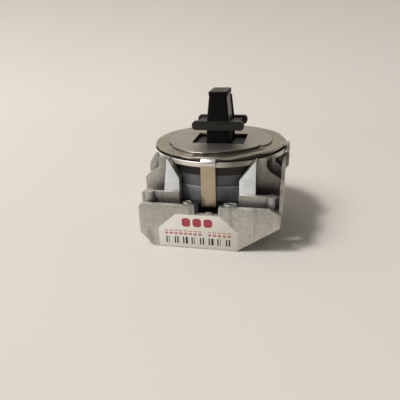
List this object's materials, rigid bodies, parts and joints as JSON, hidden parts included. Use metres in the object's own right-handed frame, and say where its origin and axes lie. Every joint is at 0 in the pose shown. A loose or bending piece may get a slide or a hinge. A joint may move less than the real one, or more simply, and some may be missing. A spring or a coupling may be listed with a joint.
{
  "type": "dot matrix print head",
  "caption": "Impact dot matrix print head: finned die-cast heat sink, round magnet stack under a steel clamp, winged black wire-guide nose and a card-edge tongue.",
  "frame": {"origin": "on the centre line of the wires and of the round magnet stack, in the plane of the heat sink's flat back face, on which the head stands", "axes": "+Z runs along the nose towards the paper, -Y faces out of the plate that carries the label, +X is to the right of somebody who looks at that plate"},
  "size_m": [0.0443, 0.0536, 0.043],
  "materials": {
    "casting": "matte as-cast",
    "label_film": "matte printed film",
    "clamp_steel": "brushed",
    "nose_plastic": "moulded",
    "guide_ceramic": "matte",
    "ring_steel": "plated satin",
    "pole_steel": "phosphated",
    "leaf_steel": "ground",
    "magnet": "sintered",
    "winding_wire": "enamelled",
    "bobbin_plastic": "moulded",
    "wire_steel": "drawn",
    "board_laminate": "solder masked",
    "gold_contact": "plated",
    "pin_metal": "tinned",
    "bead_glass": "glossy",
    "film": "amber film",
    "felt": "oiled felt"
  },
  "bodies": {
    "head": {"heat_sink": "casting", "warning_label": "label_film", "clamp_plate": "clamp_steel", "nose_housing": "nose_plastic", "tip_guide": "guide_ceramic", "middle_guide": "guide_ceramic", "rear_guide": "guide_ceramic", "oil_felt": "felt", "pressure_ring": "ring_steel", "armature_yoke": "pole_steel", "spring_spacer": "pole_steel", "leaf_spring_plate": "leaf_steel", "shim_ring": "leaf_steel", "side_yoke": "pole_steel", "ring_magnet": "magnet", "base_yoke": "pole_steel", "magnet_cores": "pole_steel", "coil_bobbins": "bobbin_plastic", "circuit_board": "board_laminate", "contact_fingers": "gold_contact", "terminal_pins": "pin_metal", "thermistor": "bead_glass", "insulating_film": "film", "alignment_dowels": "pin_metal", "winding_1": "winding_wire", "winding_2": "winding_wire", "winding_3": "winding_wire", "winding_4": "winding_wire", "winding_5": "winding_wire", "winding_6": "winding_wire", "winding_7": "winding_wire", "winding_8": "winding_wire", "winding_9": "winding_wire"},
    "armature_1": {"armature_1": "pole_steel"},
    "print_wire_1": {"print_wire_1": "wire_steel"},
    "armature_2": {"armature_2": "pole_steel"},
    "print_wire_2": {"print_wire_2": "wire_steel"},
    "armature_3": {"armature_3": "pole_steel"},
    "print_wire_3": {"print_wire_3": "wire_steel"},
    "armature_4": {"armature_4": "pole_steel"},
    "print_wire_4": {"print_wire_4": "wire_steel"},
    "armature_5": {"armature_5": "pole_steel"},
    "print_wire_5": {"print_wire_5": "wire_steel"},
    "armature_6": {"armature_6": "pole_steel"},
    "print_wire_6": {"print_wire_6": "wire_steel"},
    "armature_7": {"armature_7": "pole_steel"},
    "print_wire_7": {"print_wire_7": "wire_steel"},
    "armature_8": {"armature_8": "pole_steel"},
    "print_wire_8": {"print_wire_8": "wire_steel"},
    "armature_9": {"armature_9": "pole_steel"},
    "print_wire_9": {"print_wire_9": "wire_steel"}
  },
  "joints": [
    {"name": "armature_1_pivot", "type": "hinge", "parent": "head", "child": "armature_1", "pos_m": [0, -0.0157, 0.01755], "axis": [1, 0, 0], "range_deg": [0, 1.8], "stiffness_Nm_per_rad": 0.02, "springref_deg": -1.15},
    {"name": "print_wire_1_slide", "type": "slide", "parent": "head", "child": "print_wire_1", "axis": [0, 0.076, 0.9971], "range_m": [0, 0.0004]},
    {"name": "armature_2_pivot", "type": "hinge", "parent": "head", "child": "armature_2", "pos_m": [0.01009, -0.01203, 0.01755], "axis": [0.766, 0.6428, 0], "range_deg": [0, 1.8], "stiffness_Nm_per_rad": 0.02, "springref_deg": -1.15},
    {"name": "print_wire_2_slide", "type": "slide", "parent": "head", "child": "print_wire_2", "axis": [-0.0872, 0.059, 0.9944], "range_m": [0, 0.0004]},
    {"name": "armature_3_pivot", "type": "hinge", "parent": "head", "child": "armature_3", "pos_m": [0.01546, -0.00273, 0.01755], "axis": [0.1736, 0.9848, 0], "range_deg": [0, 1.8], "stiffness_Nm_per_rad": 0.02, "springref_deg": -1.15},
    {"name": "print_wire_3_slide", "type": "slide", "parent": "head", "child": "print_wire_3", "axis": [-0.1332, 0.0086, 0.9911], "range_m": [0, 0.0004]},
    {"name": "armature_4_pivot", "type": "hinge", "parent": "head", "child": "armature_4", "pos_m": [0.0136, 0.00785, 0.01755], "axis": [-0.5, 0.866, 0], "range_deg": [0, 1.8], "stiffness_Nm_per_rad": 0.02, "springref_deg": -1.15},
    {"name": "print_wire_4_slide", "type": "slide", "parent": "head", "child": "print_wire_4", "axis": [-0.1172, -0.0527, 0.9917], "range_m": [0, 0.0004]},
    {"name": "armature_5_pivot", "type": "hinge", "parent": "head", "child": "armature_5", "pos_m": [0.00537, 0.01475, 0.01755], "axis": [-0.9397, 0.342, 0], "range_deg": [0, 1.8], "stiffness_Nm_per_rad": 0.02, "springref_deg": -1.15},
    {"name": "print_wire_5_slide", "type": "slide", "parent": "head", "child": "print_wire_5", "axis": [-0.0465, -0.0827, 0.9955], "range_m": [0, 0.0004]},
    {"name": "armature_6_pivot", "type": "hinge", "parent": "head", "child": "armature_6", "pos_m": [-0.00537, 0.01475, 0.01755], "axis": [-0.9397, -0.342, 0], "range_deg": [0, 1.8], "stiffness_Nm_per_rad": 0.02, "springref_deg": -1.15},
    {"name": "print_wire_6_slide", "type": "slide", "parent": "head", "child": "print_wire_6", "axis": [0.0465, -0.0678, 0.9966], "range_m": [0, 0.0004]},
    {"name": "armature_7_pivot", "type": "hinge", "parent": "head", "child": "armature_7", "pos_m": [-0.0136, 0.00785, 0.01755], "axis": [-0.5, -0.866, 0], "range_deg": [0, 1.8], "stiffness_Nm_per_rad": 0.02, "springref_deg": -1.15},
    {"name": "print_wire_7_slide", "type": "slide", "parent": "head", "child": "print_wire_7", "axis": [0.1173, -0.0378, 0.9924], "range_m": [0, 0.0004]},
    {"name": "armature_8_pivot", "type": "hinge", "parent": "head", "child": "armature_8", "pos_m": [-0.01546, -0.00273, 0.01755], "axis": [0.1736, -0.9848, 0], "range_deg": [0, 1.8], "stiffness_Nm_per_rad": 0.02, "springref_deg": -1.15},
    {"name": "print_wire_8_slide", "type": "slide", "parent": "head", "child": "print_wire_8", "axis": [0.1332, 0.0235, 0.9908], "range_m": [0, 0.0004]},
    {"name": "armature_9_pivot", "type": "hinge", "parent": "head", "child": "armature_9", "pos_m": [-0.01009, -0.01203, 0.01755], "axis": [0.766, -0.6428, 0], "range_deg": [0, 1.8], "stiffness_Nm_per_rad": 0.02, "springref_deg": -1.15},
    {"name": "print_wire_9_slide", "type": "slide", "parent": "head", "child": "print_wire_9", "axis": [0.0871, 0.0739, 0.9934], "range_m": [0, 0.0004]}
  ],
  "couplings": [
    {"joint": "print_wire_1_slide", "follows": "armature_1_pivot", "m_per_rad": 0.0125},
    {"joint": "print_wire_2_slide", "follows": "armature_2_pivot", "m_per_rad": 0.0125},
    {"joint": "print_wire_3_slide", "follows": "armature_3_pivot", "m_per_rad": 0.0125},
    {"joint": "print_wire_4_slide", "follows": "armature_4_pivot", "m_per_rad": 0.0125},
    {"joint": "print_wire_5_slide", "follows": "armature_5_pivot", "m_per_rad": 0.0125},
    {"joint": "print_wire_6_slide", "follows": "armature_6_pivot", "m_per_rad": 0.0125},
    {"joint": "print_wire_7_slide", "follows": "armature_7_pivot", "m_per_rad": 0.0125},
    {"joint": "print_wire_8_slide", "follows": "armature_8_pivot", "m_per_rad": 0.0125},
    {"joint": "print_wire_9_slide", "follows": "armature_9_pivot", "m_per_rad": 0.0125}
  ]
}
